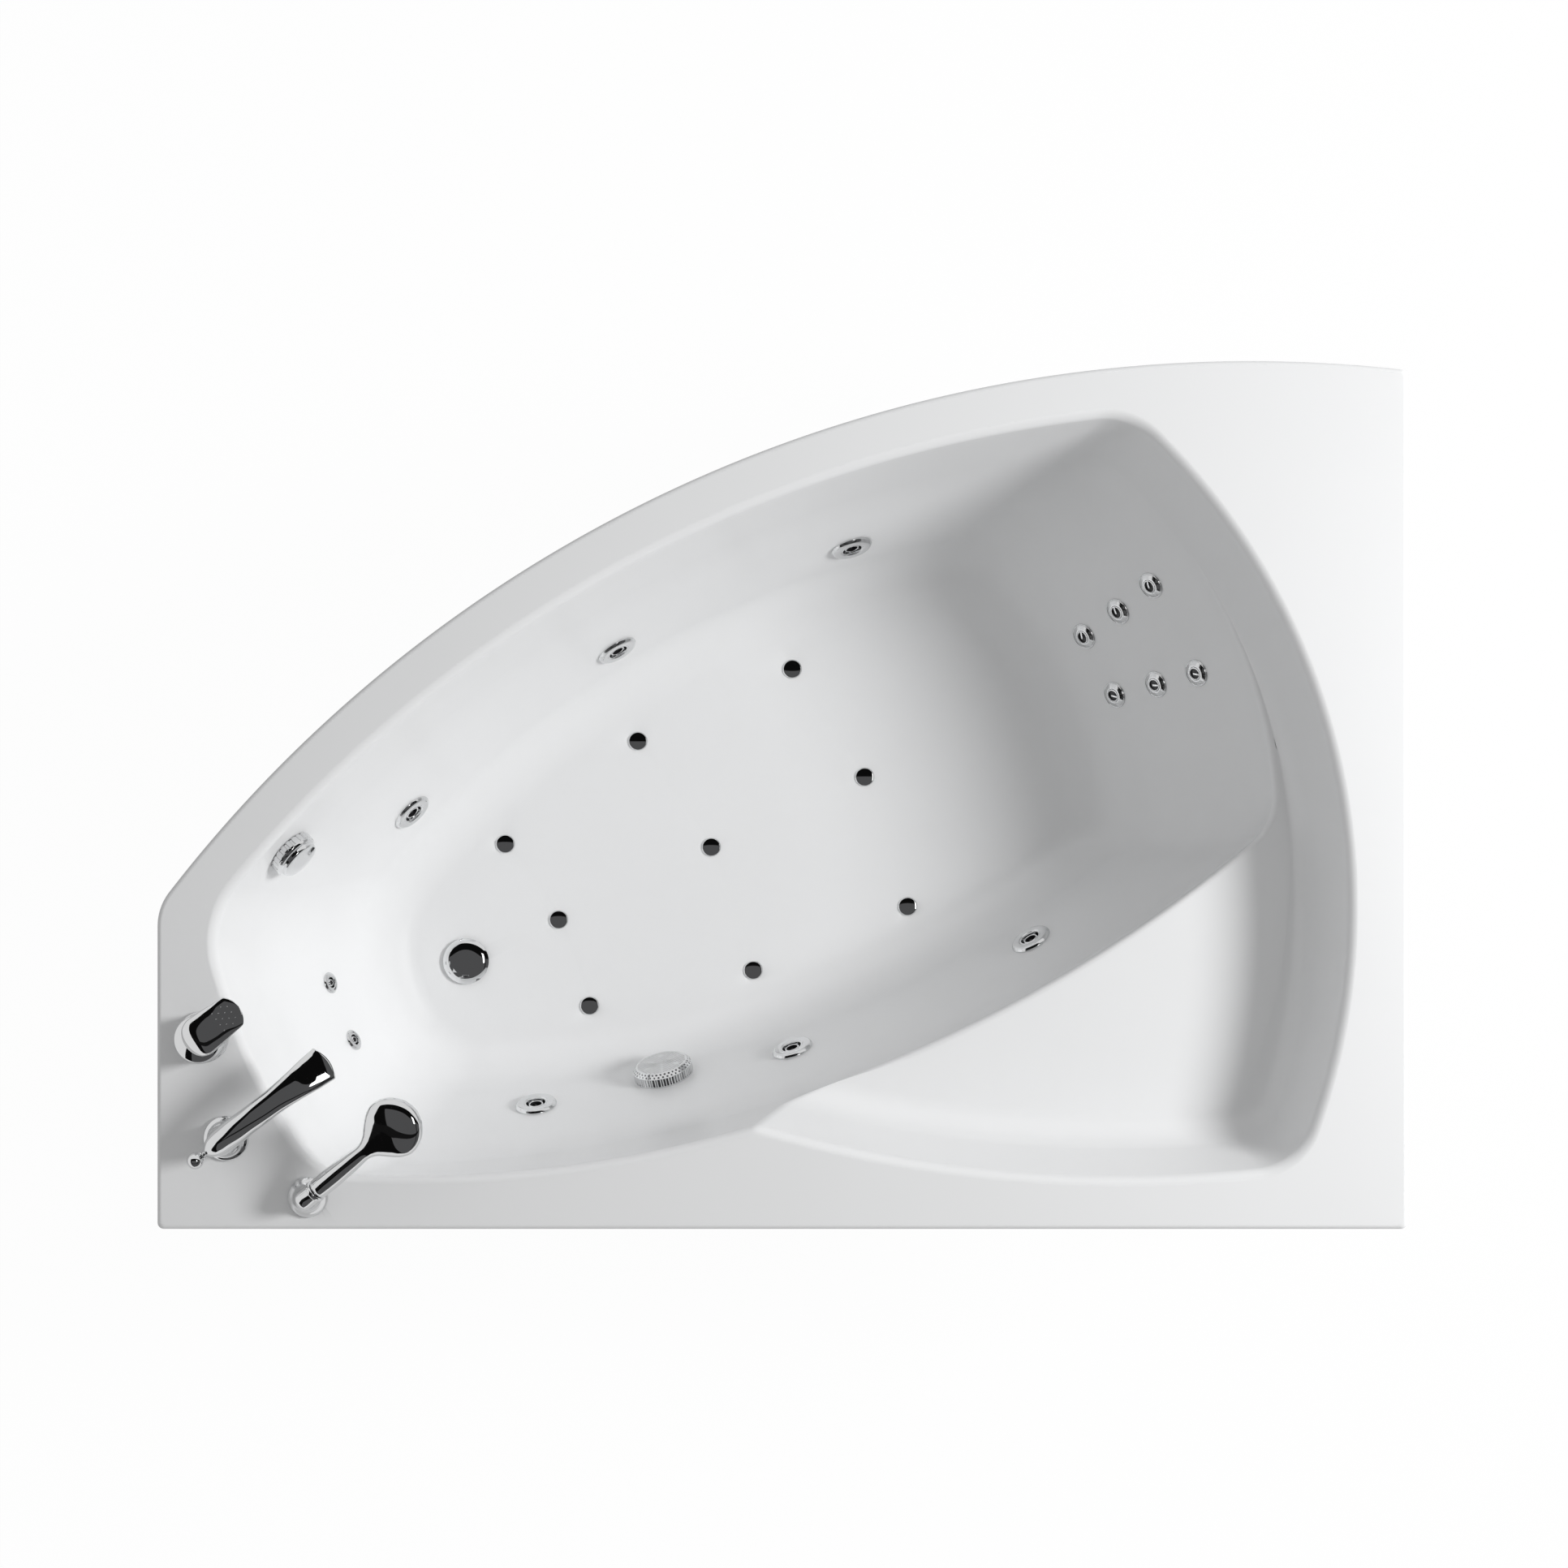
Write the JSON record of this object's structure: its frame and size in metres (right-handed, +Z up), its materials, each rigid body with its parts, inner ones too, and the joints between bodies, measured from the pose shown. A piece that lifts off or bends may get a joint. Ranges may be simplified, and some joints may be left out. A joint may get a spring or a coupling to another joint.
{
  "type": "corner jetted bathtub",
  "caption": "Asymmetric corner bathtub with bowed front, deep bathing hollow, side shelf, water and air jets, deck mixer, spout, hand shower and pop-up waste.",
  "frame": {"origin": "centre of the overall bounding box at floor level, under the feet", "axes": "+X along the straight back edge towards the wide right end, +Y from the back edge towards the bowed front, +Z up"},
  "size_m": [1.8, 1.2499, 0.7664],
  "materials": {
    "white_acrylic": "glossy white sanitary acrylic",
    "chrome": "polished chrome plate",
    "grey_plastic": "pale grey gloss moulding",
    "satin_grey": "satin metallic face ring",
    "black_rubber": "matt rubber",
    "zinc_steel": "zinc plated steel",
    "timber": "sawn softwood",
    "motor_shell": "dark painted motor casing",
    "black_plastic": "black moulding",
    "brass": "plain copper alloy tube",
    "pipe_plastic": "off-white pressure pipe"
  },
  "bodies": {
    "tub": {"tub_shell": "white_acrylic", "side_jet_rings": "satin_grey", "side_jet_barrels": "pipe_plastic", "back_jet_rings": "satin_grey", "back_jet_barrels": "pipe_plastic", "foot_jet_rings": "satin_grey", "foot_jet_barrels": "pipe_plastic", "air_jets": "satin_grey", "air_pipes": "pipe_plastic", "suction_housing": "pipe_plastic", "suction_grille": "satin_grey", "waste_body": "chrome", "waste_gasket": "black_rubber", "waste_nut": "pipe_plastic", "trap": "pipe_plastic", "overflow_body": "pipe_plastic", "overflow_pipe": "pipe_plastic", "deck_nuts": "chrome", "mixer_body": "chrome", "mixer_valve": "chrome", "spout": "chrome", "tap_pipe": "brass", "shower_holder": "chrome", "support_frame": "zinc_steel", "frame_posts": "zinc_steel", "floor_battens": "timber", "pump_wet_end": "black_plastic", "pump_motor": "motor_shell", "air_blower": "black_plastic", "equipment_tray": "zinc_steel", "suction_pipe": "pipe_plastic", "water_pipe_wall": "pipe_plastic", "water_pipe_front": "pipe_plastic"},
    "side_jet_nozzle_1": {"side_jet_nozzle_1": "grey_plastic"},
    "side_jet_nozzle_2": {"side_jet_nozzle_2": "grey_plastic"},
    "side_jet_nozzle_3": {"side_jet_nozzle_3": "grey_plastic"},
    "side_jet_nozzle_4": {"side_jet_nozzle_4": "grey_plastic"},
    "side_jet_nozzle_5": {"side_jet_nozzle_5": "grey_plastic"},
    "side_jet_nozzle_6": {"side_jet_nozzle_6": "grey_plastic"},
    "back_jet_rotor_1": {"back_jet_rotor_1": "grey_plastic"},
    "back_jet_rotor_2": {"back_jet_rotor_2": "grey_plastic"},
    "back_jet_rotor_3": {"back_jet_rotor_3": "grey_plastic"},
    "back_jet_rotor_4": {"back_jet_rotor_4": "grey_plastic"},
    "back_jet_rotor_5": {"back_jet_rotor_5": "grey_plastic"},
    "back_jet_rotor_6": {"back_jet_rotor_6": "grey_plastic"},
    "foot_jet_nozzle_1": {"foot_jet_nozzle_1": "grey_plastic"},
    "foot_jet_nozzle_2": {"foot_jet_nozzle_2": "grey_plastic"},
    "overflow_knob": {"overflow_knob": "chrome"},
    "waste_plug": {"waste_plug": "chrome"},
    "mixer_hub": {"mixer_hub": "chrome"},
    "mixer_lever": {"mixer_lever": "chrome"},
    "diverter_knob": {"diverter_knob": "chrome"},
    "hand_shower": {"hand_shower": "chrome", "shower_face": "grey_plastic"},
    "levelling_foot_1": {"levelling_foot_1": "zinc_steel"},
    "levelling_foot_2": {"levelling_foot_2": "zinc_steel"},
    "levelling_foot_3": {"levelling_foot_3": "zinc_steel"},
    "levelling_foot_4": {"levelling_foot_4": "zinc_steel"},
    "levelling_foot_5": {"levelling_foot_5": "zinc_steel"},
    "levelling_foot_6": {"levelling_foot_6": "zinc_steel"}
  },
  "joints": [
    {"name": "side_jet_tilt_1", "type": "hinge", "parent": "tub", "child": "side_jet_nozzle_1", "pos_m": [0.10363, 0.38445, 0.31811], "axis": [0.9597, 0.281, 0], "range_deg": [-12, 12]},
    {"name": "side_jet_tilt_2", "type": "hinge", "parent": "tub", "child": "side_jet_nozzle_2", "pos_m": [-0.25697, 0.22698, 0.31818], "axis": [0.8583, 0.5131, 0], "range_deg": [-12, 12]},
    {"name": "side_jet_tilt_3", "type": "hinge", "parent": "tub", "child": "side_jet_nozzle_3", "pos_m": [-0.57231, -0.02215, 0.31794], "axis": [0.6981, 0.716, 0], "range_deg": [-12, 12]},
    {"name": "side_jet_tilt_4", "type": "hinge", "parent": "tub", "child": "side_jet_nozzle_4", "pos_m": [0.38377, -0.22847, 0.31761], "axis": [-0.8603, -0.5098, 0], "range_deg": [-12, 12]},
    {"name": "side_jet_tilt_5", "type": "hinge", "parent": "tub", "child": "side_jet_nozzle_5", "pos_m": [0.01724, -0.39605, 0.31783], "axis": [-0.9485, -0.3167, 0], "range_deg": [-12, 12]},
    {"name": "side_jet_tilt_6", "type": "hinge", "parent": "tub", "child": "side_jet_nozzle_6", "pos_m": [-0.37644, -0.48235, 0.31767], "axis": [-0.994, -0.1094, 0], "range_deg": [-12, 12]},
    {"name": "back_jet_spin_1", "type": "hinge", "parent": "tub", "child": "back_jet_rotor_1", "pos_m": [0.55522, 0.315, 0.404], "axis": [-0.6417, -0.4333, 0.6328], "continuous": true},
    {"name": "back_jet_spin_2", "type": "hinge", "parent": "tub", "child": "back_jet_rotor_2", "pos_m": [0.51213, 0.27937, 0.336], "axis": [-0.6478, -0.4236, 0.6332], "continuous": true},
    {"name": "back_jet_spin_3", "type": "hinge", "parent": "tub", "child": "back_jet_rotor_3", "pos_m": [0.46653, 0.24438, 0.266], "axis": [-0.6531, -0.415, 0.6335], "continuous": true},
    {"name": "back_jet_spin_4", "type": "hinge", "parent": "tub", "child": "back_jet_rotor_4", "pos_m": [0.62404, 0.18312, 0.404], "axis": [-0.7214, -0.2782, 0.6341], "continuous": true},
    {"name": "back_jet_spin_5", "type": "hinge", "parent": "tub", "child": "back_jet_rotor_5", "pos_m": [0.57003, 0.16812, 0.33602], "axis": [-0.718, -0.2871, 0.6341], "continuous": true},
    {"name": "back_jet_spin_6", "type": "hinge", "parent": "tub", "child": "back_jet_rotor_6", "pos_m": [0.51389, 0.15375, 0.266], "axis": [-0.7132, -0.299, 0.634], "continuous": true},
    {"name": "foot_jet_tilt_1", "type": "hinge", "parent": "tub", "child": "foot_jet_nozzle_1", "pos_m": [-0.69601, -0.28959, 0.31841], "axis": [-0.2644, 0.9644, 0], "range_deg": [-10, 10]},
    {"name": "foot_jet_tilt_2", "type": "hinge", "parent": "tub", "child": "foot_jet_nozzle_2", "pos_m": [-0.65999, -0.37783, 0.31829], "axis": [-0.4427, 0.8967, 0], "range_deg": [-10, 10]},
    {"name": "overflow_knob_turn", "type": "hinge", "parent": "tub", "child": "overflow_knob", "pos_m": [-0.72, -0.08086, 0.565], "axis": [0.7236, -0.6427, 0.2516], "range_deg": [0, 90]},
    {"name": "waste_plug_lift", "type": "slide", "parent": "tub", "child": "waste_plug", "axis": [0, 0, 1], "range_m": [0, 0.009]},
    {"name": "mixer_swivel", "type": "hinge", "parent": "tub", "child": "mixer_hub", "pos_m": [-0.8334, -0.34813, 0.64], "axis": [0, 0, 1], "range_deg": [-45, 45]},
    {"name": "mixer_lift", "type": "hinge", "parent": "mixer_hub", "child": "mixer_lever", "pos_m": [-0.8334, -0.34813, 0.7073], "axis": [0.6018, -0.7986, 0], "range_deg": [0, 20]},
    {"name": "diverter_pull", "type": "slide", "parent": "tub", "child": "diverter_knob", "axis": [-0.7986, -0.6018, 0], "range_m": [0, 0.01]},
    {"name": "hand_shower_lift_off", "type": "slide", "parent": "tub", "child": "hand_shower", "axis": [0.7261, 0.5965, 0.342], "range_m": [0, 0.08]},
    {"name": "levelling_foot_screw_1", "type": "slide", "parent": "tub", "child": "levelling_foot_1", "axis": [0, 0, -1], "range_m": [0, 0.015]},
    {"name": "levelling_foot_screw_2", "type": "slide", "parent": "tub", "child": "levelling_foot_2", "axis": [0, 0, -1], "range_m": [0, 0.015]},
    {"name": "levelling_foot_screw_3", "type": "slide", "parent": "tub", "child": "levelling_foot_3", "axis": [0, 0, -1], "range_m": [0, 0.015]},
    {"name": "levelling_foot_screw_4", "type": "slide", "parent": "tub", "child": "levelling_foot_4", "axis": [0, 0, -1], "range_m": [0, 0.015]},
    {"name": "levelling_foot_screw_5", "type": "slide", "parent": "tub", "child": "levelling_foot_5", "axis": [0, 0, -1], "range_m": [0, 0.015]},
    {"name": "levelling_foot_screw_6", "type": "slide", "parent": "tub", "child": "levelling_foot_6", "axis": [0, 0, -1], "range_m": [0, 0.015]}
  ],
  "couplings": [
    {"joint": "waste_plug_lift", "follows": "overflow_knob_turn", "m_per_rad": 0.00572}
  ]
}
